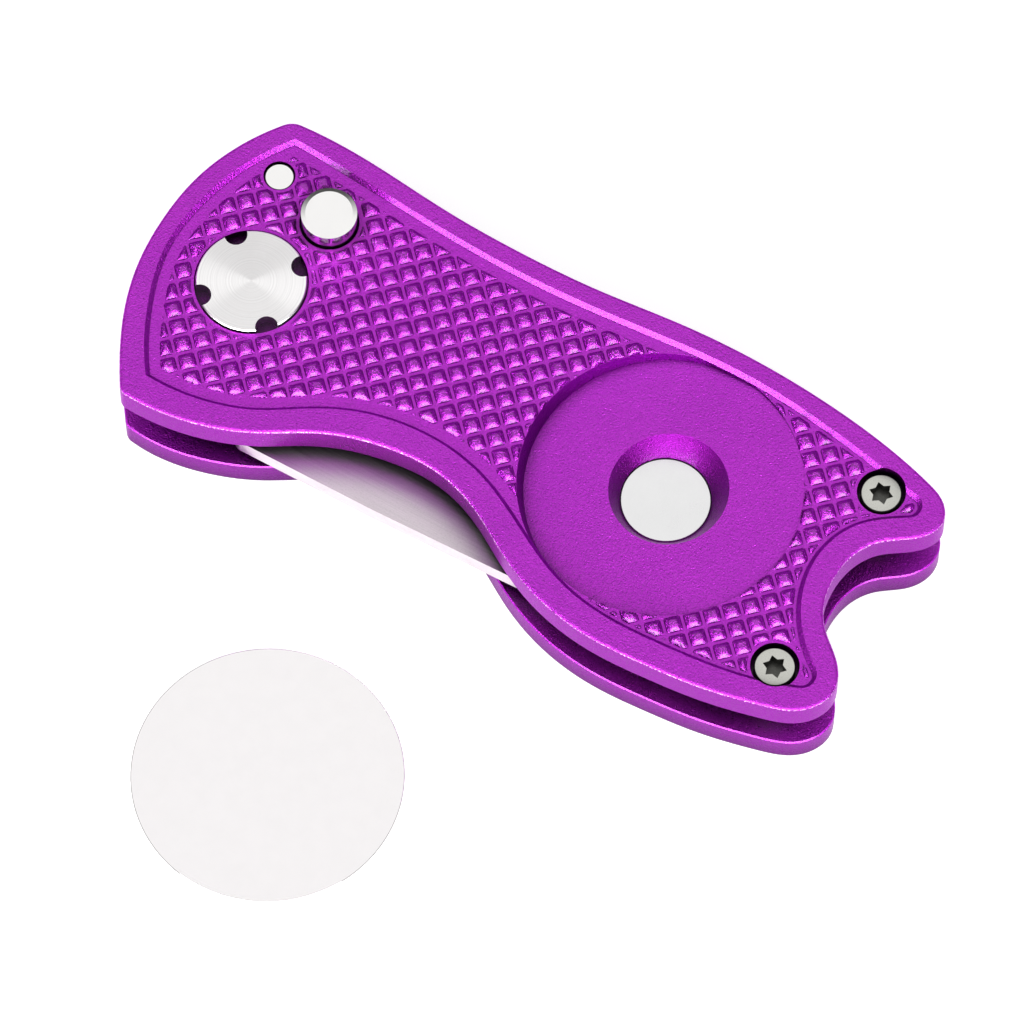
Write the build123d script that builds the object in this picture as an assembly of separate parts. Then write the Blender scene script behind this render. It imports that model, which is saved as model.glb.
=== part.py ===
from build123d import *
import math
import os

# Folding divot repair tool: two aluminium scales, a two-prong fork that swings out of
# the slot between them, a push-button lock, and a magnetic seat for a loose ball marker.
# Millimetres.  +X runs from the fork pivot to the tail, +Y to the back edge, +Z up.
# The origin is on the pivot axis, in the plane that the tool lies on.

# ---- driving dimensions -------------------------------------------------------------
TOTAL_THICKNESS = 10.6
SCALE_THICKNESS = 3.1
EDGE_ROUND = 0.3            # rounding of each scale's outer edge
INNER_EDGE_BREAK = 0.12     # small chamfer of the edges that face the slot
FIELD_DEPTH = 0.45          # grip field below the flat rim
FIELD_BEVEL = 0.4

SEAT_CENTRE = (42.05, 1.75)  # ball marker seat, its floor rising to the back and the tail
SEAT_RADIUS = 12.6
SEAT_DEPTH = 1.45            # of the floor's middle, below the rim
SEAT_RISE = (0.063, 0.044)   # slope of the floor along +X and +Y
SEAT_WALL_SPREAD = 0.24      # the wall leans outwards by this much of its height
SEAT_CUTTER_HEIGHT = 4.0

MAGNET_CENTRE = (42.3, 1.75)
MAGNET_RADIUS = 4.12
MAGNET_HEIGHT = 1.6
MAGNET_BELOW_RIM = 3.8
MAGNET_CONE_SPREAD = 0.53    # widening of the round hollow above the magnet
MAGNET_BOSS_RADIUS = 4.9
MAGNET_BOSS_FLOOR = 0.7
MAGNET_EDGE = 0.12

MARKER_RADIUS = 12.25
MARKER_THICKNESS = 1.2
MARKER_PLACE = (24.1, -37.25)
MARKER_EDGE = 0.15

DISC_RADIUS = 5.05          # visible heads of the pivot nut and the pivot bolt
DISC_BELOW_RIM = 0.15
DISC_POCKET_RADIUS = 5.2
NUT_DISC_THICKNESS = 1.3
BOLT_DISC_THICKNESS = 1.2
NOTCH_RADIUS = 1.05
NOTCH_CENTRE_RADIUS = 4.85
NOTCH_START_ANGLE = 48.0
BARREL_RADIUS = 2.2
BOLT_RADIUS = 1.45
BUSH_RADIUS = 3.0
HEAD_EDGE = 0.1             # small chamfers of the pivot heads
BARREL_CLEARANCE = 0.3      # end gaps between the barrel, the bolt and their bores
RUNNING_GAP = 0.05
SLIP_GAP = 0.03             # between pieces that are fastened together

FORK_THICKNESS = 2.0
FORK_EDGE = 0.15
TANG_RADIUS = 7.3
HEEL = (5.8, -12.65)
BLADE_END = 56.0
BLADE_FRONT_TIP = -10.55
BLADE_BACK_TIP = -3.95
BLADE_WAIST = ((40.0, -3.75), 12)     # corner on the back edge, and its radius
BLADE_SHOULDER = ((33.0, -2.4), 20)
PRONG_SLOT_WIDTH = 2.8
PRONG_SLOT_START = 34.0
PRONG_SLOT_MIDDLE = -7.35
WASHER_OUTER_RADIUS = 6.0
SPRING_ROOM_RADIUS = 4.7    # round space for the opening spring inside the lower washer
SPRING_ROOM_WEB = 0.7       # metal left between that space and the bolt's head
OPENING_WIRE = 0.45
OPENING_COIL_RADIUS = 3.85
OPENING_TURNS = 3
OPENING_PITCH = 0.55
SPRING_LEG_ANGLE = 200.0
SPRING_LEG_LENGTH = 1.9
SPRING_LEG_SLOT = 1.6       # reach of the leg's slot beyond the spring room

BUTTON_PLACE = (2.97, 8.7)
BUTTON_RADIUS = 2.55
BUTTON_PROUD = 1.6
BUTTON_CROWN = (0.4, 0.15)  # width and height of the shallow cone round its top
BUTTON_HOLE_RADIUS = 2.73
BUTTON_NECK_RADIUS = 1.5
BUTTON_CAP_GAP = 0.4        # left between the pressed cap and the fork
BUTTON_TRAVEL = 1.2
FLANGE_RADIUS = 2.9
FLANGE_THICKNESS = 1.0
FLANGE_GAP = 0.15
RETURN_POCKET_RADIUS = 3.2
RETURN_POCKET_FLOOR = 1.1
RETURN_WIRE = 0.32
RETURN_TURNS = 3
RETURN_COIL_RADIUS = 2.6
RETURN_TAPER = -22

STOP_PIN_PLACE = (-3.38, 10.45)
STOP_PIN_RADIUS = 1.32
STOP_PIN_HOLE_RADIUS = 1.46
STOP_PIN_EDGE = 0.06
STOP_PIN_BELOW_RIM = 0.7

TAIL_SCREW_PLACES = ((59.15, 10.9), (59.35, -8.55))
SCREW_HEAD_RADIUS = 1.87
SCREW_HEAD_THICKNESS = 1.3
SCREW_HEAD_BELOW_RIM = 0.7
SCREW_POCKET_RADIUS = 2.2
SCREW_SHANK_RADIUS = 1.0
SCREW_HOLE_RADIUS = 1.15
SCREW_SHANK_LENGTH = 3.0
SPACER_RADIUS = 2.2
DRIVE_TIP_RADIUS = 1.12
DRIVE_ROOT_RADIUS = 0.74
DRIVE_DEPTH = 1.0
DRIVE_TURN = 12.0
SCREW_EDGE = 0.12

# ---- heights that follow ------------------------------------------------------------
MID_HEIGHT = TOTAL_THICKNESS / 2
SLOT_LOW = SCALE_THICKNESS
SLOT_HIGH = TOTAL_THICKNESS - SCALE_THICKNESS
FIELD_HEIGHT = TOTAL_THICKNESS - FIELD_DEPTH
SEAT_FLOOR = TOTAL_THICKNESS - SEAT_DEPTH
MAGNET_TOP = TOTAL_THICKNESS - MAGNET_BELOW_RIM
MAGNET_BOTTOM = MAGNET_TOP - MAGNET_HEIGHT
NUT_TOP = TOTAL_THICKNESS - DISC_BELOW_RIM
NUT_DISC_LOW = NUT_TOP - NUT_DISC_THICKNESS
FORK_LOW = MID_HEIGHT - FORK_THICKNESS / 2
FORK_HIGH = MID_HEIGHT + FORK_THICKNESS / 2
SPRING_ROOM_FLOOR = BOLT_DISC_THICKNESS + SPRING_ROOM_WEB
SCREW_HEAD_LOW = TOTAL_THICKNESS - SCREW_HEAD_BELOW_RIM - SCREW_HEAD_THICKNESS
FLANGE_HIGH = FORK_LOW - FLANGE_GAP
FLANGE_LOW = FLANGE_HIGH - FLANGE_THICKNESS
BUTTON_CAP_LOW = FORK_HIGH + BUTTON_TRAVEL + BUTTON_CAP_GAP


def disc(place, radius, low, high):
    """Upright cylinder between two heights."""
    return Pos(place[0], place[1], low) * Cylinder(
        radius, high - low, align=(Align.CENTER, Align.CENTER, Align.MIN))


def polar(radius, degrees):
    angle = math.radians(degrees)
    return (radius * math.cos(angle), radius * math.sin(angle))


def mid_mirror(solid):
    """The same piece on the other side of the tool's middle plane."""
    return mirror(solid, about=Plane.XY.offset(MID_HEIGHT))


def corner_near(face, place):
    return face.vertices().sort_by_distance(Vector(place[0], place[1], 0))[0]


# ---- outlines of the scales ----------------------------------------------------------
# The lower scale's tail notch is a little shallower, and its ends stop a little shorter.
UPPER_ENDS = {"horn": (65.45, 10.8), "toe": (-4.35, -15.5),
              "notch": ((64.1, 8.4), (61.5, 6.4), (60.1, 4.0), (59.75, 1.25), (60.1, -0.9))}
LOWER_ENDS = {"horn": (65.25, 10.7), "toe": (-4.15, -15.25),
              "notch": ((64.1, 8.05), (61.6, 6.0), (60.25, 3.8), (59.85, 1.25), (60.15, -0.9))}


def scale_outline(horn, notch, toe):
    """Outside of a scale: wavy back, notched tail, finger scoop in front, bowed nose."""
    tip = (-5.1, 15.65)
    back = Spline(tip, (4, 15.7), (11.5, 15.05), (19.5, 14.85), (27.5, 15.2), (35.5, 16.05),
                  (43.5, 16.35), (52, 15.8), (57.5, 14.95), (62.3, 13.75), (64.6, 12.6),
                  horn, *notch, (61.3, -3.1), (64.0, -5.6), (65.15, -8.2), (63.8, -11.0),
                  (60.2, -12.65), (54.7, -13.9), (49.5, -14.5), (44.8, -14.75), (40.5, -14.35),
                  (36.8, -13.35), (33.3, -11.75), (29.4, -9.5), (26.0, -8.15), (22.8, -7.7),
                  (19.2, -8.0), (15.5, -8.9), (12.3, -10.3), (8.5, -12.6), (4.3, -14.4),
                  (0, -15.35), toe)
    nose = Spline(toe, (-7.1, -11.0), (-8.75, -7.3), (-9.8, -3.3), (-10.15, 1.2), (-9.7, 6.2),
                  (-8.3, 10.5), tip)
    face = make_face([back, nose])
    face = fillet(corner_near(face, tip), 2.0)
    return fillet(corner_near(face, toe), 1.1)


def field_outline():
    """Foot of the bevel that runs round the grip field, inside the rim."""
    tip = (-3.75, 13.8)
    back_horn = (64.2, 11.25)
    front_horn = (63.9, -8.25)
    toe = (-3.0, -12.55)
    back = Spline(tip, (2.0, 13.55), (9.0, 13.05), (16.5, 12.7), (24.0, 12.8), (31.5, 13.4),
                  (38.3, 14.05), (44.5, 14.2), (51.0, 13.65), back_horn)
    notch = Spline(back_horn, (60.9, 9.15), (58.85, 7.3), (57.4, 4.5), (57.05, 1.6),
                   (57.75, -1.7), (59.8, -5.1), front_horn)
    front = Spline(front_horn, (60.2, -9.9), (55.3, -11.1), (49.5, -11.75), (44.5, -11.95),
                   (39.5, -11.2), (34.0, -8.75), (29.0, -6.2), (25.0, -5.05), (21.5, -4.8),
                   (17.5, -5.25), (13.4, -6.6), (10.3, -8.35), (7.0, -10.45), (3.0, -11.95), toe)
    nose = Spline(toe, (-4.6, -10.2), (-6.2, -7.1), (-7.65, -3.1), (-8.15, 1.05), (-7.65, 4.95),
                  (-6.65, 8.5), (-5.3, 11.4), tip)
    face = make_face([back, notch, front, nose])
    face = fillet(corner_near(face, back_horn), 0.85)
    return fillet(corner_near(face, front_horn), 1.0)


def plain_scale(ends):
    """Upper scale before its holes: rounded plate with a sunk, bevelled grip field."""
    plate = extrude(Pos(0, 0, SLOT_HIGH) * scale_outline(**ends), SCALE_THICKNESS)
    plate = fillet(plate.faces().sort_by(Axis.Z)[-1].outer_wire().edges(), EDGE_ROUND)
    plate = chamfer(plate.faces().sort_by(Axis.Z)[0].outer_wire().edges(), INNER_EDGE_BREAK)
    plate -= extrude(Pos(0, 0, FIELD_HEIGHT) * field_outline(), FIELD_DEPTH + 1)
    rim = plate.faces().sort_by(Axis.Z)[-1]
    return chamfer(rim.inner_wires()[0].edges(), FIELD_BEVEL)


# ---- the scales ------------------------------------------------------------------------
def seat_cutter():
    """Tilted round seat with a leaning wall, kept inside the foot of the field's bevel."""
    normal = (-SEAT_RISE[0], -SEAT_RISE[1], 1)
    floor = Plane(origin=(SEAT_CENTRE[0], SEAT_CENTRE[1], SEAT_FLOOR), z_dir=normal)
    spread = SEAT_WALL_SPREAD * SEAT_CUTTER_HEIGHT
    seat = floor.location * Cone(SEAT_RADIUS, SEAT_RADIUS + spread, SEAT_CUTTER_HEIGHT,
                                 align=(Align.CENTER, Align.CENTER, Align.MIN))
    return seat & extrude(Pos(0, 0, SLOT_HIGH) * field_outline(), SCALE_THICKNESS + 1)


def magnet_hollow():
    """Round hollow that widens upwards from the magnet's top."""
    low = MAGNET_RADIUS + SLIP_GAP
    height = TOTAL_THICKNESS - MAGNET_TOP
    high = low + MAGNET_CONE_SPREAD * height
    hollow = Pos(MAGNET_CENTRE[0], MAGNET_CENTRE[1], MAGNET_TOP) * Cone(
        low, high, height, align=(Align.CENTER, Align.CENTER, Align.MIN))
    return hollow + disc(MAGNET_CENTRE, low, MAGNET_BOTTOM, MAGNET_TOP + 0.1)


def top_scale():
    scale = plain_scale(UPPER_ENDS)
    scale += disc(MAGNET_CENTRE, MAGNET_BOSS_RADIUS, MAGNET_BOTTOM - MAGNET_BOSS_FLOOR, SLOT_HIGH + 0.2)
    scale -= seat_cutter()
    scale -= magnet_hollow()
    scale -= disc((0, 0), DISC_POCKET_RADIUS, NUT_DISC_LOW, TOTAL_THICKNESS + 1)
    scale -= disc((0, 0), BARREL_RADIUS + SLIP_GAP, SLOT_HIGH - 1, TOTAL_THICKNESS)
    scale -= disc(BUTTON_PLACE, BUTTON_HOLE_RADIUS, SLOT_HIGH - 1, TOTAL_THICKNESS + 1)
    scale -= disc(STOP_PIN_PLACE, STOP_PIN_HOLE_RADIUS, SLOT_HIGH - 1, TOTAL_THICKNESS + 1)
    for place in TAIL_SCREW_PLACES:
        scale -= disc(place, SCREW_POCKET_RADIUS, SCREW_HEAD_LOW, TOTAL_THICKNESS + 1)
        scale -= disc(place, SCREW_HOLE_RADIUS, SLOT_HIGH - 1, TOTAL_THICKNESS)
    return scale


def bottom_scale():
    scale = mid_mirror(plain_scale(LOWER_ENDS))
    # Bolt head, spring room and barrel clearance on the pivot axis
    scale -= disc((0, 0), DISC_POCKET_RADIUS, -1, BOLT_DISC_THICKNESS)
    scale -= disc((0, 0), SPRING_ROOM_RADIUS, SPRING_ROOM_FLOOR, SLOT_LOW + 1)
    scale -= disc((0, 0), BARREL_RADIUS + SLIP_GAP, 0, SLOT_LOW)
    slot_length = SPRING_ROOM_RADIUS + SPRING_LEG_SLOT
    leg_slot = Box(slot_length, OPENING_WIRE + 0.15, OPENING_WIRE + 0.3,
                   align=(Align.MIN, Align.CENTER, Align.MIN))
    scale -= Pos(0, 0, SPRING_ROOM_FLOOR) * Rot(0, 0, SPRING_LEG_ANGLE) * leg_slot
    scale -= disc(BUTTON_PLACE, RETURN_POCKET_RADIUS, RETURN_POCKET_FLOOR, SLOT_LOW + 1)
    scale -= disc(STOP_PIN_PLACE, STOP_PIN_RADIUS + SLIP_GAP, -1, SLOT_LOW + 1)
    for place in TAIL_SCREW_PLACES:
        scale -= mid_mirror(disc(place, SCREW_POCKET_RADIUS, SCREW_HEAD_LOW, TOTAL_THICKNESS + 1))
        scale -= disc(place, SCREW_HOLE_RADIUS, 0, SLOT_LOW + 1)
    return scale


# ---- pivot -----------------------------------------------------------------------------
def notched_disc(low, high, edge_heights):
    """Round head with four half-round spanner notches in its rim."""
    head = disc((0, 0), DISC_RADIUS, low, high)
    for height in edge_heights:
        rim = head.edges().filter_by(GeomType.CIRCLE).sort_by(lambda e: abs(e.center().Z - height))
        head = chamfer(rim[0], HEAD_EDGE)
    for quarter in range(4):
        place = polar(NOTCH_CENTRE_RADIUS, NOTCH_START_ANGLE + 90 * quarter)
        beyond = polar(NOTCH_CENTRE_RADIUS + 1, NOTCH_START_ANGLE + 90 * quarter)
        head -= disc(place, NOTCH_RADIUS, low - 1, high + 1)
        head -= disc(beyond, NOTCH_RADIUS, low - 1, high + 1)
    return head


def pivot_nut():
    nut = notched_disc(NUT_DISC_LOW, NUT_TOP, [NUT_TOP])
    nut += disc((0, 0), BARREL_RADIUS, BOLT_DISC_THICKNESS + BARREL_CLEARANCE, NUT_DISC_LOW + 0.1)
    return nut - disc((0, 0), BOLT_RADIUS + SLIP_GAP, 0, NUT_DISC_LOW - BARREL_CLEARANCE)


def pivot_bolt():
    bolt = notched_disc(0, BOLT_DISC_THICKNESS, [0])
    bolt_end = NUT_DISC_LOW - 2 * BARREL_CLEARANCE
    return bolt + disc((0, 0), BOLT_RADIUS, BOLT_DISC_THICKNESS - 0.1, bolt_end)


def ring(inner, outer, low, high):
    return disc((0, 0), outer, low, high) - disc((0, 0), inner, low - 1, high + 1)


def pivot_bushing():
    return ring(BARREL_RADIUS + SLIP_GAP, BUSH_RADIUS, SPRING_ROOM_FLOOR, SLOT_HIGH)


def upper_washer():
    return ring(BUSH_RADIUS + SLIP_GAP, WASHER_OUTER_RADIUS, FORK_HIGH + RUNNING_GAP, SLOT_HIGH)


def lower_washer():
    return ring(SPRING_ROOM_RADIUS, WASHER_OUTER_RADIUS, SLOT_LOW, FORK_LOW - RUNNING_GAP)


def opening_spring():
    """Torsion spring round the bushing: one leg in the lower scale, one up in the fork."""
    low = SPRING_ROOM_FLOOR + OPENING_WIRE / 2 + 0.1
    wire = OPENING_WIRE / 2
    height = OPENING_PITCH * OPENING_TURNS
    path = Helix(OPENING_PITCH, height, OPENING_COIL_RADIUS)
    coil = sweep(Plane(path @ 0, z_dir=path % 0) * Circle(wire), path=path, is_frenet=True)
    start = Pos(OPENING_COIL_RADIUS, 0, 0)
    outward = start * Rot(0, 90, 0) * Cylinder(
        wire, SPRING_LEG_LENGTH, align=(Align.CENTER, Align.CENTER, Align.MIN))
    end = Pos(OPENING_COIL_RADIUS, 0, height)
    upward = end * Cylinder(wire, 1.6, align=(Align.CENTER, Align.CENTER, Align.MIN))
    spring = coil + start * Sphere(wire) + outward + end * Sphere(wire) + upward
    return Pos(0, 0, low) * Rot(0, 0, SPRING_LEG_ANGLE) * spring


# ---- fork --------------------------------------------------------------------------------
def fork_profile():
    front_tip = (BLADE_END, BLADE_FRONT_TIP)
    back_tip = (BLADE_END, BLADE_BACK_TIP)
    blade = make_face(Polyline(
        (2.0, -5.0), HEEL, (20.0, -12.3), (33.5, -11.65), front_tip, back_tip,
        BLADE_WAIST[0], BLADE_SHOULDER[0], (11.0, 4.6), (2.0, 5.6), (2.0, -5.0)))
    blade = fillet(corner_near(blade, HEEL), 0.8)
    for corner, radius in (BLADE_WAIST, BLADE_SHOULDER):
        blade = fillet(corner_near(blade, corner), radius)
    profile = blade + Circle(TANG_RADIUS)
    slot_length = BLADE_END - PRONG_SLOT_START + 4
    slot_centre = PRONG_SLOT_START + slot_length / 2
    profile -= Pos(slot_centre, PRONG_SLOT_MIDDLE) * Rectangle(slot_length, PRONG_SLOT_WIDTH)
    profile -= Pos(PRONG_SLOT_START, PRONG_SLOT_MIDDLE) * Circle(PRONG_SLOT_WIDTH / 2)
    for corner in (front_tip, back_tip):
        profile = fillet(corner_near(profile, corner), 1.1)
    for side in (-1, 1):
        inner = (BLADE_END, PRONG_SLOT_MIDDLE + side * PRONG_SLOT_WIDTH / 2)
        profile = fillet(corner_near(profile, inner), 0.6)
    # Lock notches: where the button's flange sits with the fork shut and fully open
    for place in (BUTTON_PLACE, (-BUTTON_PLACE[0], -BUTTON_PLACE[1])):
        profile -= Pos(place[0], place[1]) * Circle(FLANGE_RADIUS + 0.15)
    # Shoulder of the heel, hollowed to seat the stop pin when fully open
    profile -= Pos(-STOP_PIN_PLACE[0], -STOP_PIN_PLACE[1]) * Circle(STOP_PIN_RADIUS + 0.08)
    return profile - Circle(BUSH_RADIUS + RUNNING_GAP)


def fork():
    blade = extrude(Pos(0, 0, FORK_LOW) * fork_profile(), FORK_THICKNESS)
    flats = [blade.faces().sort_by(Axis.Z)[-1], blade.faces().sort_by(Axis.Z)[0]]
    for flat in flats:
        blade = chamfer(flat.outer_wire().edges(), FORK_EDGE)
    leg = polar(OPENING_COIL_RADIUS, SPRING_LEG_ANGLE)
    return blade - disc(leg, OPENING_WIRE / 2 + 0.12, FORK_LOW - 1, FORK_LOW + 1.2)


# ---- button lock ---------------------------------------------------------------------------
def release_button():
    top = TOTAL_THICKNESS + BUTTON_PROUD
    width, height = BUTTON_CROWN
    cap = disc(BUTTON_PLACE, BUTTON_RADIUS, BUTTON_CAP_LOW, top - height)
    cap += Pos(BUTTON_PLACE[0], BUTTON_PLACE[1], top - height) * Cone(
        BUTTON_RADIUS, BUTTON_RADIUS - width, height, align=(Align.CENTER, Align.CENTER, Align.MIN))
    neck = disc(BUTTON_PLACE, BUTTON_NECK_RADIUS, FLANGE_HIGH - 0.1, BUTTON_CAP_LOW + 0.1)
    return cap + neck + disc(BUTTON_PLACE, FLANGE_RADIUS, FLANGE_LOW, FLANGE_HIGH)


def button_spring():
    """Conical return spring, so that it can close flatter than its free height."""
    wire = RETURN_WIRE / 2
    height = FLANGE_LOW - RETURN_POCKET_FLOOR - RETURN_WIRE - 0.04
    path = Helix(height / RETURN_TURNS, height, RETURN_COIL_RADIUS, cone_angle=RETURN_TAPER)
    coil = sweep(Plane(path @ 0, z_dir=path % 0) * Circle(wire), path=path, is_frenet=True)
    return Pos(BUTTON_PLACE[0], BUTTON_PLACE[1], RETURN_POCKET_FLOOR + wire + 0.02) * coil


def stop_pin():
    high = TOTAL_THICKNESS - STOP_PIN_BELOW_RIM
    pin = disc(STOP_PIN_PLACE, STOP_PIN_RADIUS, STOP_PIN_BELOW_RIM, high)
    return chamfer(pin.edges().filter_by(GeomType.CIRCLE), STOP_PIN_EDGE)


# ---- tail fasteners --------------------------------------------------------------------------
def drive_star():
    """Six-pointed socket."""
    corners = []
    for step in range(12):
        radius = DRIVE_TIP_RADIUS if step % 2 == 0 else DRIVE_ROOT_RADIUS
        corners.append(polar(radius, DRIVE_TURN + 30 * step))
    return make_face(Polyline(*corners, close=True))


def tail_screw(place):
    head_high = SCREW_HEAD_LOW + SCREW_HEAD_THICKNESS
    head = disc(place, SCREW_HEAD_RADIUS, SCREW_HEAD_LOW, head_high)
    head = chamfer(head.edges().sort_by(Axis.Z)[-1], SCREW_EDGE)
    head -= extrude(Pos(place[0], place[1], head_high - DRIVE_DEPTH) * drive_star(), DRIVE_DEPTH + 1)
    return head + disc(place, SCREW_SHANK_RADIUS, SCREW_HEAD_LOW - SCREW_SHANK_LENGTH, SCREW_HEAD_LOW + 0.1)


def upper_tail_screws():
    return Compound([tail_screw(place) for place in TAIL_SCREW_PLACES])


def lower_tail_screws():
    return Compound([mid_mirror(tail_screw(place)) for place in TAIL_SCREW_PLACES])


def tail_spacers():
    posts = []
    for place in TAIL_SCREW_PLACES:
        post = disc(place, SPACER_RADIUS, SLOT_LOW, SLOT_HIGH)
        posts.append(post - disc(place, SCREW_SHANK_RADIUS + SLIP_GAP, 0, TOTAL_THICKNESS))
    return Compound(posts)


# ---- magnet and marker -------------------------------------------------------------------------
def magnet():
    body = disc(MAGNET_CENTRE, MAGNET_RADIUS, MAGNET_BOTTOM, MAGNET_TOP)
    return chamfer(body.edges().filter_by(GeomType.CIRCLE), MAGNET_EDGE)


def ball_marker():
    coin = disc(MARKER_PLACE, MARKER_RADIUS, 0, MARKER_THICKNESS)
    return fillet(coin.edges().filter_by(GeomType.CIRCLE), MARKER_EDGE)


os.makedirs("parts", exist_ok=True)
PIECES = (top_scale, bottom_scale, fork, pivot_nut, pivot_bolt, pivot_bushing, upper_washer,
          lower_washer, opening_spring, release_button, button_spring, stop_pin,
          upper_tail_screws, lower_tail_screws, tail_spacers, magnet, ball_marker)
for piece in PIECES:
    export_step(piece(), "parts/" + piece.__name__ + ".step")
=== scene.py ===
import math

import bpy
import numpy as np
from mathutils import Matrix, Vector


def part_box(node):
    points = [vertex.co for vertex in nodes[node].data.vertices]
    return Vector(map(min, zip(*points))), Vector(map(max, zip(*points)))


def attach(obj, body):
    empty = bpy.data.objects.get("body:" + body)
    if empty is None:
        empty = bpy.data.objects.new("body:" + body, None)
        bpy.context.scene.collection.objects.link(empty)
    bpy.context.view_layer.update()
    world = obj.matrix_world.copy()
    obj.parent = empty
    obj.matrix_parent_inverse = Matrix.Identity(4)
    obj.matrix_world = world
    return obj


# Folding divot repair tool with its loose ball marker.
# Metres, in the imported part's own frame: +X runs from the fork pivot to the tail, +Y to the
# back edge, +Z up.  The handle, fork, button and marker are CAD nodes with procedural
# materials.  The grip pyramids on both faces are meshes made here.

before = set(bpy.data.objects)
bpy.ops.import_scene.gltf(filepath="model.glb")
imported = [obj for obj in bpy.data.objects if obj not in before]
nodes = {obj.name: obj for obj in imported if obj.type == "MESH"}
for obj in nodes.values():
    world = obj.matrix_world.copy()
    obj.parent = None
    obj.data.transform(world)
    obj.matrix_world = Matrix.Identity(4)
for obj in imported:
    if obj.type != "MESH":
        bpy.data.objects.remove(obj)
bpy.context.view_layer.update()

MM = 0.001
SEED = 7

# Camera, as a point it looks at and where it stands from there
LOOK_AT = Vector((30.642, -5.589, 5.0)) * MM
CAMERA_AZIMUTH = 30.119
CAMERA_ELEVATION = 65.792
CAMERA_ROLL = 0.513
CAMERA_DISTANCE = 733.04 * MM
CAMERA_LENS = 287.042
CAMERA_SENSOR = 36.0

# Studio: dim walls, bright ceiling; positions are sines of the elevation
SKY_LOW, SKY_LOW_END = 0.08, 0.46
SKY_HIGH, SKY_HIGH_START = 1.02, 0.74
FLOOR_GLOW = 0.58
FLOOR_ALBEDO = 0.75

# Grip pyramids
PITCH = 1.784 * MM
LATTICE_TURN = 45.0
LATTICE_POINT = (11.79 * MM, 6.70 * MM)
STEPS_PER_PITCH = 16
PYRAMID_HEIGHT = 0.43 * MM
PYRAMID_FOOT = 0.435        # half width of a pyramid's foot, in pitches
PYRAMID_TOP = 0.18          # half width of its flat top, in pitches
CORNER_POWER = 6.0
UNEVENNESS = 0.012          # spread of the pyramids' heights, as a share
UNEVEN_TABLE = 400
SUNK = 0.02 * MM            # the foot goes this far into the scale
THINNEST = 0.002 * MM       # lower bits than this are left out
FIELD_DEPTH = 0.45 * MM
RIM_MARGIN = 1.05 * MM      # bare strip between the bevel and the pyramids
HOLE_MARGIN = 0.30 * MM     # the same round the pockets
SEAT_MARGIN = 0.06 * MM     # and round the marker seat, which cuts them off steeply
MARGIN_SLOPE = 1.1
SEAT_SLOPE = 2.2
SEAT_CENTRE = (42.05 * MM, 1.75 * MM)
SEAT_REACH = 13.25 * MM     # the seat's edge lies within this of its centre

# How a flat face is found in a CAD node's mesh
WELD = 0.001 * MM               # its corners are rounded to this
LEVEL_TOLERANCE = 0.002 * MM    # and lie this close to its height

# Where the edges are painted brighter, partly wear and partly a painted highlight: a band along the outer
# edges, by height from the handle's middle
MIDDLE_HEIGHT = 5.3 * MM
WORN_HIGHLIGHT_FROM, WORN_HIGHLIGHT_TO = 4.9 * MM, 5.0 * MM

# Widths of the crevices in which painted shade darkens each kind of metal
ANODISED_CREVICE = 7.0 * MM
BLADE_CREVICE = 5.0 * MM
MACHINED_CREVICE = 2.5 * MM
OPENNESS_SAMPLES = 8

# Turned faces
RING_WIDTH = 0.14 * MM
FACE_FALL = 0.09            # slope by which a face seems to fall off outwards


# ---- camera, floor and lights ------------------------------------------------------------
def direction(azimuth, elevation):
    """Unit vector from the object towards a place at that azimuth and elevation."""
    a, e = math.radians(azimuth), math.radians(elevation)
    return Vector((math.sin(a) * math.cos(e), -math.cos(a) * math.cos(e), math.sin(e)))


def make_camera():
    data = bpy.data.cameras.new("camera")
    data.lens = CAMERA_LENS
    data.sensor_width = CAMERA_SENSOR
    data.dof.use_dof = False
    data.clip_start = 0.01
    data.clip_end = 20
    camera = bpy.data.objects.new("camera", data)
    back = direction(CAMERA_AZIMUTH, CAMERA_ELEVATION)
    turn = back.to_track_quat("Z", "Y").to_matrix().to_4x4()
    place = Matrix.Translation(LOOK_AT + back * CAMERA_DISTANCE)
    camera.matrix_world = place @ turn @ Matrix.Rotation(math.radians(CAMERA_ROLL), 4, "Z")
    bpy.context.scene.collection.objects.link(camera)
    bpy.context.scene.camera = camera


def area_light(name, azimuth, elevation, distance, width, height, radiance):
    """Soft box that faces the object; radiance is what a mirror would show of it."""
    data = bpy.data.lights.new(name, "AREA")
    data.shape = "RECTANGLE"
    data.size, data.size_y = width, height
    data.energy = radiance * width * height * math.pi
    lamp = bpy.data.objects.new(name, data)
    back = direction(azimuth, elevation)
    lamp.location = LOOK_AT + back * distance
    lamp.rotation_mode = "QUATERNION"
    lamp.rotation_quaternion = back.to_track_quat("Z", "Y")
    bpy.context.scene.collection.objects.link(lamp)


def make_world():
    world = bpy.data.worlds.new("studio")
    bpy.context.scene.world = world
    world.use_nodes = True
    tree = world.node_tree
    tree.nodes.clear()
    coords = tree.nodes.new("ShaderNodeTexCoord")
    split = tree.nodes.new("ShaderNodeSeparateXYZ")
    ramp = tree.nodes.new("ShaderNodeValToRGB")
    background = tree.nodes.new("ShaderNodeBackground")
    output = tree.nodes.new("ShaderNodeOutputWorld")
    tree.links.new(coords.outputs["Generated"], split.inputs[0])
    tree.links.new(split.outputs["Z"], ramp.inputs["Fac"])
    tree.links.new(ramp.outputs["Color"], background.inputs["Color"])
    tree.links.new(background.outputs[0], output.inputs["Surface"])
    stops = ramp.color_ramp.elements
    stops[0].position, stops[0].color = SKY_LOW_END, (SKY_LOW, SKY_LOW, SKY_LOW, 1)
    stops[1].position, stops[1].color = SKY_HIGH_START, (SKY_HIGH, SKY_HIGH, SKY_HIGH, 1)
    background.inputs["Strength"].default_value = 1.0


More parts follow.
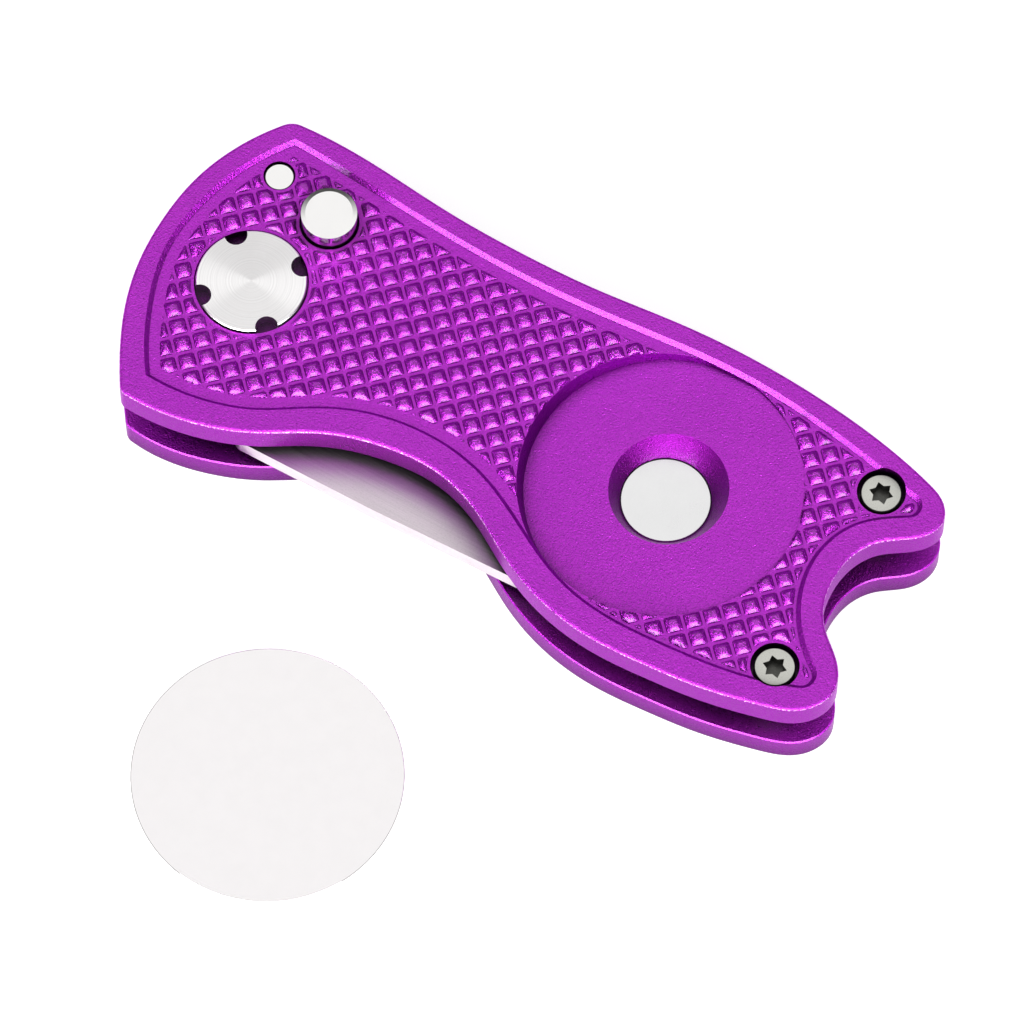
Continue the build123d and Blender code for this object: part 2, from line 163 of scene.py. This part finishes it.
def make_floor():
    mesh = bpy.data.meshes.new("floor")
    half = 3.0
    low = -0.05 * MM
    mesh.from_pydata([(-half, -half, low), (half, -half, low), (half, half, low), (-half, half, low)],
                     [], [(0, 1, 2, 3)])
    floor = bpy.data.objects.new("floor", mesh)
    bpy.context.scene.collection.objects.link(floor)
    material = bpy.data.materials.new("floor_white")
    material.use_nodes = True
    shader = material.node_tree.nodes["Principled BSDF"]
    shader.inputs["Base Color"].default_value = (FLOOR_ALBEDO, FLOOR_ALBEDO, FLOOR_ALBEDO, 1)
    shader.inputs["Roughness"].default_value = 0.9
    shader.inputs["Specular IOR Level"].default_value = 0.1
    shader.inputs["Emission Color"].default_value = (1, 1, 1, 1)
    shader.inputs["Emission Strength"].default_value = FLOOR_GLOW
    mesh.materials.append(material)


# ---- node helpers ------------------------------------------------------------------------
class Nodes:
    """Short names for building one material's node tree."""

    def __init__(self, name):
        self.material = bpy.data.materials.new(name)
        self.material.use_nodes = True
        self.tree = self.material.node_tree
        self.shader = self.tree.nodes["Principled BSDF"]
        self.coords = self.tree.nodes.new("ShaderNodeTexCoord")

    def link(self, source, target):
        self.tree.links.new(source, target)

    def feed(self, node, name, value):
        """Links a socket, or sets it when the value is a plain number or colour."""
        socket = node.inputs[name]
        if isinstance(value, bpy.types.NodeSocket):
            self.link(value, socket)
        else:
            socket.default_value = value

    def math(self, operation, a, b=0.0):
        node = self.tree.nodes.new("ShaderNodeMath")
        node.operation = operation
        self.feed(node, 0, a)
        self.feed(node, 1, b)
        return node.outputs[0]

    def scaled(self, factors, turn=(0, 0, 0)):
        """Object coordinates in metres, times a factor for each axis, and turned if asked."""
        node = self.tree.nodes.new("ShaderNodeMapping")
        self.link(self.coords.outputs["Object"], node.inputs["Vector"])
        node.inputs["Rotation"].default_value = turn
        node.inputs["Scale"].default_value = factors
        return node.outputs[0]

    def noise(self, size, vector=None, detail=2.0, roughness=0.5):
        """Noise whose blobs are about that size in metres."""
        node = self.tree.nodes.new("ShaderNodeTexNoise")
        self.link(vector or self.coords.outputs["Object"], node.inputs["Vector"])
        node.inputs["Scale"].default_value = 1 / size
        node.inputs["Detail"].default_value = detail
        node.inputs["Roughness"].default_value = roughness
        return node.outputs[0]

    def openness(self, distance):
        """1 in the open, falling towards 0 in crevices narrower than that distance."""
        node = self.tree.nodes.new("ShaderNodeAmbientOcclusion")
        node.samples = OPENNESS_SAMPLES
        node.inputs["Distance"].default_value = distance
        return node.outputs["AO"]

    def span(self, value, low, high, to_low=0.0, to_high=1.0):
        """Takes low..high to to_low..to_high, and stays at the ends outside that."""
        node = self.tree.nodes.new("ShaderNodeMapRange")
        self.feed(node, "Value", value)
        node.inputs["From Min"].default_value = low
        node.inputs["From Max"].default_value = high
        node.inputs["To Min"].default_value = to_low
        node.inputs["To Max"].default_value = to_high
        return node.outputs[0]

    def mix(self, factor, a, b):
        """Colour that goes from a to b as the factor goes from 0 to 1."""
        node = self.tree.nodes.new("ShaderNodeMix")
        node.data_type = "RGBA"
        self.link(factor, node.inputs[0])
        for socket, value in ((node.inputs[6], a), (node.inputs[7], b)):
            if isinstance(value, bpy.types.NodeSocket):
                self.link(value, socket)
            else:
                socket.default_value = (*value, 1)
        return node.outputs[2]

    def bump(self, height, distance, onto=None):
        """Normal of a surface raised by that height times the distance."""
        node = self.tree.nodes.new("ShaderNodeBump")
        self.link(height, node.inputs["Height"])
        node.inputs["Distance"].default_value = distance
        node.inputs["Strength"].default_value = 1.0
        if onto is not None:
            self.link(onto, node.inputs["Normal"])
        return node.outputs[0]

    def split(self, vector):
        node = self.tree.nodes.new("ShaderNodeSeparateXYZ")
        self.link(vector, node.inputs[0])
        return node.outputs

    def set(self, **values):
        """Sets or links inputs of the shader, by name with _ for a space."""
        for name, value in values.items():
            self.feed(self.shader, name.replace("_", " "), value)


# ---- materials ----------------------------------------------------------------------------
PURPLE = (0.62, 0.038, 0.74)
PURPLE_DEEP = (0.41, 0.018, 0.54)
# Painted shade colour for steep walls
PURPLE_WALL_SHADE = (0.27, 0.010, 0.33)
PURPLE_GRAZING = (0.75, 0.12, 0.85)
PURPLE_SHADE = (0.025, 0.0005, 0.03)
# Pinkish-white for the outer edges: partly worn metal, partly a painted highlight
PURPLE_WORN_HIGHLIGHT = (0.90, 0.55, 0.92)


def anodised(name, grain, worn_highlight, gloss, coat, dark_from, dark_to):
    """Bead-blasted, anodised aluminium with fine grain, and painted shade on steep walls and in crevices.

    The outer edges are painted brighter if asked, partly wear and partly a painted highlight.  The
    openness of the surface, between dark_from and dark_to, takes it from the painted shade colour to the
    full one.
    """
    n = Nodes(name)
    fine = n.noise(0.08 * MM, detail=2.0)
    coarse = n.noise(0.17 * MM, detail=1.0)
    cloud = n.noise(4.0 * MM, detail=3.0)
    color = n.mix(n.span(fine, 0.32, 0.62), PURPLE_DEEP, PURPLE)
    color = n.mix(n.span(cloud, 0.35, 0.65, 0.0, 0.2), color, PURPLE_DEEP)
    tilt = n.math("ABSOLUTE", n.split(n.coords.outputs["Normal"])[2])
    # Painted shade: steep walls get a darker colour than flat faces
    color = n.mix(n.span(tilt, 0.42, 0.70), PURPLE_WALL_SHADE, color)
    # Painted highlight with some wear: a speckled pinkish-white band on the rounding of the outer edges
    if worn_highlight:
        height = n.split(n.coords.outputs["Object"])[2]
        from_middle = n.math("ABSOLUTE", n.math("SUBTRACT", height, MIDDLE_HEIGHT))
        # The outer edge's rounding starts steeper than the bevel of the grip field
        near_rim = n.span(from_middle, WORN_HIGHLIGHT_FROM, WORN_HIGHLIGHT_TO)
        slanted = n.math("MULTIPLY", n.span(tilt, 0.25, 0.40), n.span(tilt, 0.66, 0.60))
        edge = n.math("MULTIPLY", near_rim, slanted)
        speckle = n.span(n.noise(0.16 * MM, detail=1.0), 0.42, 0.62)
        color = n.mix(n.math("MULTIPLY", edge, n.math("MULTIPLY", speckle, 0.8)), color, PURPLE_WORN_HIGHLIGHT)
    # Painted shade: the less open the surface, the nearer it comes to the shade colour
    color = n.mix(n.span(n.openness(ANODISED_CREVICE), dark_from, dark_to), PURPLE_SHADE, color)
    n.set(Base_Color=color, Metallic=1.0)
    n.set(Roughness=n.span(coarse, 0.3, 0.7, gloss - 0.07, gloss + 0.08))
    n.set(Coat_Weight=coat, Coat_Roughness=0.2, Coat_IOR=1.5, Specular_Tint=(*PURPLE_GRAZING, 1))
    rough = n.bump(coarse, 0.075 * MM * grain)
    n.set(Normal=n.bump(fine, 0.045 * MM * grain, onto=rough))
    return n.material


def brushed(name, color, streak, roughness):
    """Steel brushed along the blade, gritty, with painted shade where it runs in under the scales."""
    n = Nodes(name)
    lines = n.noise(1 * MM, n.scaled((0.12, 14.0, 1.0)), detail=4.0, roughness=0.7)
    hairs = n.noise(1 * MM, n.scaled((0.4, 40.0, 1.0)), detail=2.0)
    spots = n.noise(2.5 * MM, detail=3.0)
    tone = n.mix(n.span(lines, 0.3, 0.7), tuple(c * (1 - streak) for c in color), color)
    tone = n.mix(n.span(spots, 0.4, 0.7, 0.0, 0.12), tone, tuple(c * 0.75 for c in color))
    grit = n.noise(0.14 * MM, detail=2.0)
    tone = n.mix(n.span(grit, 0.5, 0.7, 0.0, 0.35), tone, tuple(c * 0.6 for c in color))
    # Painted shade: dark where the blade runs in under the scales and in other crevices
    tone = n.mix(n.span(n.openness(BLADE_CREVICE), 0.15, 0.85), (0.06, 0.035, 0.06), tone)
    n.set(Base_Color=tone, Metallic=1.0)
    n.set(Roughness=n.span(lines, 0.3, 0.7, roughness - 0.06, roughness + 0.08))
    n.set(Anisotropic=0.4)
    n.set(Normal=n.bump(n.math("ADD", lines, n.math("MULTIPLY", hairs, 0.5)), 0.004 * MM))
    return n.material


def turned(name, color, roughness, anisotropy):
    """Face-turned metal: fine rings of differing tone round the pivot axis."""
    n = Nodes(name)
    x, y, _ = n.split(n.coords.outputs["Object"])
    radius = n.math("SQRT", n.math("ADD", n.math("MULTIPLY", x, x), n.math("MULTIPLY", y, y)))
    ring_node = n.tree.nodes.new("ShaderNodeTexNoise")
    ring_node.noise_dimensions = "1D"
    n.link(n.math("DIVIDE", radius, RING_WIDTH), ring_node.inputs["W"])
    ring_node.inputs["Scale"].default_value = 1.0
    ring_node.inputs["Detail"].default_value = 3.0
    ring_node.inputs["Roughness"].default_value = 0.6
    rings = ring_node.outputs[0]
    dust = n.noise(0.12 * MM, detail=2.0)
    tone = n.mix(n.span(rings, 0.3, 0.7), tuple(c * 0.86 for c in color), color)
    tone = n.mix(n.span(dust, 0.55, 0.8, 0.0, 0.15), tone, tuple(c * 0.7 for c in color))
    tangent = n.tree.nodes.new("ShaderNodeTangent")
    tangent.direction_type = "RADIAL"
    tangent.axis = "Z"
    n.set(Base_Color=tone, Metallic=1.0, Anisotropic=anisotropy, Tangent=tangent.outputs[0])
    n.set(Roughness=n.span(rings, 0.3, 0.7, roughness - 0.05, roughness + 0.06))
    falling = n.bump(n.math("MULTIPLY", radius, -FACE_FALL), 1.0)
    n.set(Normal=n.bump(rings, 0.003 * MM, onto=falling))
    return n.material


def polished(name, color, roughness, haze, scratch=0.0006 * MM):
    """Polished metal with a faint haze and hair scratches."""
    n = Nodes(name)
    cloud = n.noise(1.6 * MM, detail=4.0)
    hairs = n.noise(1 * MM, n.scaled((5.0, 1.2, 1.0), turn=(0, 0, 0.6)), detail=3.0)
    grain = n.noise(0.09 * MM, detail=1.0)
    tone = n.mix(n.span(cloud, 0.35, 0.7), color, tuple(c * 0.985 for c in color))
    n.set(Base_Color=tone, Metallic=1.0)
    n.set(Roughness=n.span(n.math("ADD", cloud, n.math("MULTIPLY", hairs, 0.6)), 0.5, 1.1,
                           roughness, roughness + haze))
    n.set(Normal=n.bump(n.math("ADD", hairs, n.math("MULTIPLY", grain, 0.4)), scratch))
    return n.material


def machined(name, color, roughness):
    """Plain machined metal for inside pieces and screws, with painted shade in crevices."""
    n = Nodes(name)
    grain = n.noise(0.10 * MM, detail=2.0)
    cloud = n.noise(1.2 * MM, detail=3.0)
    tone = n.mix(n.span(grain, 0.3, 0.7), tuple(c * 0.85 for c in color), color)
    tone = n.mix(n.span(cloud, 0.4, 0.7, 0.0, 0.2), tone, tuple(c * 0.8 for c in color))
    # Painted shade: crevices darken towards a tenth of the colour
    tone = n.mix(n.span(n.openness(MACHINED_CREVICE), 0.55, 0.92), tuple(c * 0.12 for c in color), tone)
    n.set(Base_Color=tone, Metallic=1.0)
    n.set(Roughness=n.span(grain, 0.3, 0.7, roughness - 0.05, roughness + 0.07))
    n.set(Normal=n.bump(grain, 0.004 * MM))
    return n.material


# ---- grip pyramids ---------------------------------------------------------------------------
def flat_region(node, level):
    """Boundary edges, as (start, end) arrays, of a CAD node's flat face at that height."""
    mesh = node.data
    mesh.calc_loop_triangles()
    points = np.array([v.co for v in mesh.vertices])
    triangles = np.array([t.vertices[:] for t in mesh.loop_triangles])
    at_level = np.all(np.abs(points[triangles][:, :, 2] - level) < LEVEL_TOLERANCE, axis=1)
    used = {}
    for triangle in triangles[at_level]:
        keys = [tuple(np.round(points[i, :2] / WELD).astype(int)) for i in triangle]
        for a, b in ((0, 1), (1, 2), (2, 0)):
            edge = (min(keys[a], keys[b]), max(keys[a], keys[b]))
            used[edge] = used.get(edge, 0) + 1
    edges = np.array([edge for edge, count in sorted(used.items()) if count == 1], float)
    edges *= WELD
    return edges[:, 0], edges[:, 1]


def loops_of(starts, ends):
    """The boundary edges sorted into closed loops, as index arrays."""
    at = {}
    for i, (a, b) in enumerate(zip(map(tuple, starts), map(tuple, ends))):
        at.setdefault(a, []).append(i)
        at.setdefault(b, []).append(i)
    left, loops = set(range(len(starts))), []
    while left:
        pending, loop = [min(left)], []
        left.discard(pending[0])
        while pending:
            i = pending.pop()
            loop.append(i)
            for corner in (tuple(starts[i]), tuple(ends[i])):
                for j in at[corner]:
                    if j in left:
                        left.discard(j)
                        pending.append(j)
        loops.append(np.array(loop))
    return loops


def distance_to(points, starts, ends):
    """Distance of each point from the nearest of some edges."""
    best = np.full(len(points), 1e9)
    for a, b in zip(starts, ends):
        along = b - a
        length = max(along @ along, 1e-18)
        t = np.clip(((points - a) @ along) / length, 0, 1)
        gap = points - a - t[:, None] * along
        best = np.minimum(best, np.einsum("ij,ij->i", gap, gap))
    return np.sqrt(best)


def is_inside(points, starts, ends):
    """Even-odd test against all boundary loops together."""
    crossings = np.zeros(len(points), int)
    for a, b in zip(starts, ends):
        if a[1] == b[1]:
            continue
        spans = (a[1] > points[:, 1]) != (b[1] > points[:, 1])
        x = a[0] + (points[:, 1] - a[1]) * (b[0] - a[0]) / (b[1] - a[1])
        crossings += spans & (points[:, 0] < x)
    return crossings % 2 == 1


def lattice_over(starts, ends):
    """Grid over a region: the index of each point, the points, and the grid's shape."""
    step = PITCH / STEPS_PER_PITCH
    turn = math.radians(LATTICE_TURN)
    axes = np.array([[math.cos(turn), math.sin(turn)], [-math.sin(turn), math.cos(turn)]])
    origin = np.array(LATTICE_POINT)
    lattice = (np.vstack([starts, ends]) - origin) @ axes.T
    low = np.floor(lattice.min(0) / step).astype(int) - 1
    high = np.ceil(lattice.max(0) / step).astype(int) + 1
    i, j = np.meshgrid(np.arange(low[0], high[0]), np.arange(low[1], high[1]), indexing="ij")
    grid = np.stack([i.ravel(), j.ravel()], 1)
    return grid, grid * step @ axes + origin, i.shape


def room_at(points, starts, ends, has_seat):
    """Height allowed at each point by its distance from the bevel, the seat and every hole."""
    middles = (starts + ends) / 2
    at_seat = has_seat & (np.hypot(*(middles - np.array(SEAT_CENTRE)).T) < SEAT_REACH)
    at_rim = np.zeros(len(starts), bool)
    at_rim[max(loops_of(starts, ends), key=lambda loop: np.ptp(starts[loop, 0]))] = True
    kinds = ((at_seat, SEAT_MARGIN, SEAT_SLOPE),
             (at_rim & ~at_seat, RIM_MARGIN, MARGIN_SLOPE),
             (~at_rim & ~at_seat, HOLE_MARGIN, MARGIN_SLOPE))
    inside = is_inside(points, starts, ends)
    here = points[inside]
    room = np.full(len(points), -1.0)
    room[inside] = np.inf
    for chosen, margin, slope in kinds:
        if chosen.any():
            left = (distance_to(here, starts[chosen], ends[chosen]) - margin) * slope
            room[inside] = np.minimum(room[inside], left)
    return room


def pyramid_heights(grid):
    """Height of the full pattern at each point of the grid, each pyramid a little different."""
    cell = grid / STEPS_PER_PITCH
    index = np.floor(cell).astype(int)
    offset = np.abs(cell - index - 0.5)
    reach = (offset[:, 0] ** CORNER_POWER + offset[:, 1] ** CORNER_POWER) ** (1 / CORNER_POWER)
    rng = np.random.default_rng(SEED)
    uneven = rng.normal(0, UNEVENNESS, (UNEVEN_TABLE, UNEVEN_TABLE))
    tall = PYRAMID_HEIGHT * (1 + uneven[index[:, 0] % UNEVEN_TABLE, index[:, 1] % UNEVEN_TABLE])
    return tall * np.clip((PYRAMID_FOOT - reach) / (PYRAMID_FOOT - PYRAMID_TOP), 0, 1)


def closed_shells(grid, points, height, level, up):
    """Vertices and triangles of all that rises from the foot, closed by a flat underside.

    The triangles take turns: one of the top, then the one below it.
    """
    solid = height > -SUNK + THINNEST
    keep = solid[:-1, :-1] | solid[1:, :-1] | solid[1:, 1:] | solid[:-1, 1:]
    numbers, vertices, faces = {}, [], []

    def vertex(corner, top):
        """Point on the top or the underside; round a pyramid's foot the two are one."""
        raised = top and bool(solid[corner])
        key = (*corner, raised)
        if key not in numbers:
            numbers[key] = len(vertices)
            x, y = points[corner]
            vertices.append((x, y, level + up * (height[corner] if raised else -SUNK)))
        return numbers[key]

    for a, b in np.argwhere(keep).tolist():
        quad = [(a, b), (a + 1, b), (a + 1, b + 1), (a, b + 1)]
        # The diagonal runs towards the pyramid's middle, along its ridge
        left, below = grid[a, b] % STEPS_PER_PITCH < STEPS_PER_PITCH // 2
        pair = ((0, 1, 2), (0, 2, 3)) if left == below else ((0, 1, 3), (1, 2, 3))
        for picked in pair:
            triangle = [quad[k] for k in picked]
            if not any(solid[corner] for corner in triangle):
                continue
            upper = [vertex(corner, True) for corner in triangle]
            under = [vertex(corner, False) for corner in reversed(triangle)]
            faces += [upper, under] if up > 0 else [upper[::-1], under[::-1]]
    return vertices, faces


def grip_pattern(name, node, level, up):
    """Rows of blunt square pyramids over a sunk grip field, sloped off where the field ends."""
    starts, ends = flat_region(node, level)
    grid, points, shape = lattice_over(starts, ends)
    room = room_at(points, starts, ends, has_seat=up > 0)
    height = np.clip(np.minimum(pyramid_heights(grid), room + SUNK), 0, None) - SUNK
    vertices, faces = closed_shells(grid.reshape(*shape, 2), points.reshape(*shape, 2),
                                    height.reshape(shape), level, up)
    mesh = bpy.data.meshes.new(name)
    mesh.from_pydata(vertices, [], faces)
    # Tops are smooth, undersides flat, so that the feet keep a crisp edge
    mesh.polygons.foreach_set("use_smooth", [True, False] * (len(faces) // 2))
    piece = bpy.data.objects.new(name, mesh)
    bpy.context.scene.collection.objects.link(piece)
    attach(piece, "handle")
    return piece


# ---- put together -------------------------------------------------------------------------------
def paint(node, material):
    """Gives a piece that material and no other."""
    node.data.materials.clear()
    node.data.materials.append(material)


make_camera()
make_world()
make_floor()
area_light("front_box", azimuth=25, elevation=25, distance=0.9, width=1.8, height=0.22, radiance=15.0)

scale_material = anodised("purple_scale", grain=1.0, worn_highlight=True, gloss=0.34, coat=0.3,
                          dark_from=0.38, dark_to=0.80)
paint(nodes["top_scale"], scale_material)
paint(nodes["bottom_scale"], scale_material)
paint(nodes["fork"], brushed("fork_steel", (0.76, 0.68, 0.73), streak=0.2, roughness=0.34))
turned_head = turned("turned_head", (0.98, 0.965, 0.965), roughness=0.34, anisotropy=0.92)
paint(nodes["pivot_nut"], turned_head)
paint(nodes["pivot_bolt"], turned_head)
bronze = machined("bronze", (0.60, 0.42, 0.22), roughness=0.35)
for name in ("pivot_bushing", "upper_washer", "lower_washer"):
    paint(nodes[name], bronze)
wire = machined("spring_wire", (0.50, 0.50, 0.50), roughness=0.30)
for name in ("opening_spring", "button_spring"):
    paint(nodes[name], wire)
bright = polished("polished_steel", (0.90, 0.89, 0.88), roughness=0.10, haze=0.08)
for name in ("release_button", "stop_pin"):
    paint(nodes[name], bright)
screw = machined("satin_screw", (0.66, 0.66, 0.61), roughness=0.32)
for name in ("upper_tail_screws", "lower_tail_screws", "tail_spacers"):
    paint(nodes[name], screw)
nickel = polished("satin_nickel", (0.82, 0.82, 0.82), roughness=0.24, haze=0.04, scratch=0.00005 * MM)
paint(nodes["magnet"], nickel)
mirror = polished("mirror_marker", (0.91, 0.885, 0.89), roughness=0.02, haze=0.02, scratch=0.0001 * MM)
paint(nodes["ball_marker"], mirror)

grip_material = anodised("purple_grip", grain=1.7, worn_highlight=False, gloss=0.20, coat=0.7,
                         dark_from=0.30, dark_to=0.75)
for name, node, up in (("grip_pattern_top", "top_scale", 1), ("grip_pattern_bottom", "bottom_scale", -1)):
    low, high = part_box(node)
    level = high.z - FIELD_DEPTH if up > 0 else low.z + FIELD_DEPTH
    paint(grip_pattern(name, nodes[node], level, up), grip_material)

bpy.context.scene.view_settings.view_transform = "Standard"
